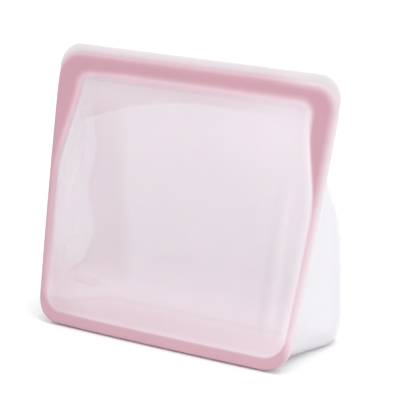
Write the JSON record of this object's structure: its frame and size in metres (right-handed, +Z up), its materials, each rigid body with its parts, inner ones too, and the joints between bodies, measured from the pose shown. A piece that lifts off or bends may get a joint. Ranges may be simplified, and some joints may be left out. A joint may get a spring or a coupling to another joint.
{
  "type": "reusable silicone bag",
  "caption": "Stand-up food storage bag in translucent silicone, with a thick rim round a see-through front, a press-to-close mouth and a flat gusseted base.",
  "frame": {"origin": "on the surface the bag stands on, at the middle of its box", "axes": "+X to the right as seen from the front, +Y from the front to the back, +Z up"},
  "size_m": [0.2642, 0.104, 0.2282],
  "materials": {
    "silicone_rim": "thick translucent rose silicone, satin",
    "silicone_window": "thin milky translucent silicone with a faint rose tint, satin",
    "silicone_tub": "thin milky translucent silicone, nearly clear, satin"
  },
  "bodies": {
    "tub": {"bottom_rim": "silicone_rim", "left_side_rim": "silicone_rim", "right_side_rim": "silicone_rim", "left_seam": "silicone_rim", "right_seam": "silicone_rim", "left_gusset": "silicone_tub", "right_gusset": "silicone_tub", "rear_foot": "silicone_tub", "base_panel": "silicone_window"},
    "front_wall": {"front_window": "silicone_window", "blank_badge": "silicone_window", "front_band": "silicone_rim", "front_lip": "silicone_window", "upper_seal_jaw": "silicone_rim", "lower_seal_jaw": "silicone_rim"},
    "back_mouth_wall": {"back_wall": "silicone_tub", "back_band": "silicone_rim", "back_lip": "silicone_window", "seal_rib": "silicone_rim"}
  },
  "joints": [
    {"name": "front_mouth", "type": "hinge", "parent": "tub", "child": "front_wall", "pos_m": [0, -0.04676, 0.01083], "axis": [1, 0, 0], "range_deg": [0, 10], "stiffness_Nm_per_rad": 0.6},
    {"name": "back_mouth", "type": "hinge", "parent": "tub", "child": "back_mouth_wall", "pos_m": [0, 0.052, 0.0193], "axis": [-1, 0, 0], "range_deg": [0, 10], "stiffness_Nm_per_rad": 0.6}
  ]
}
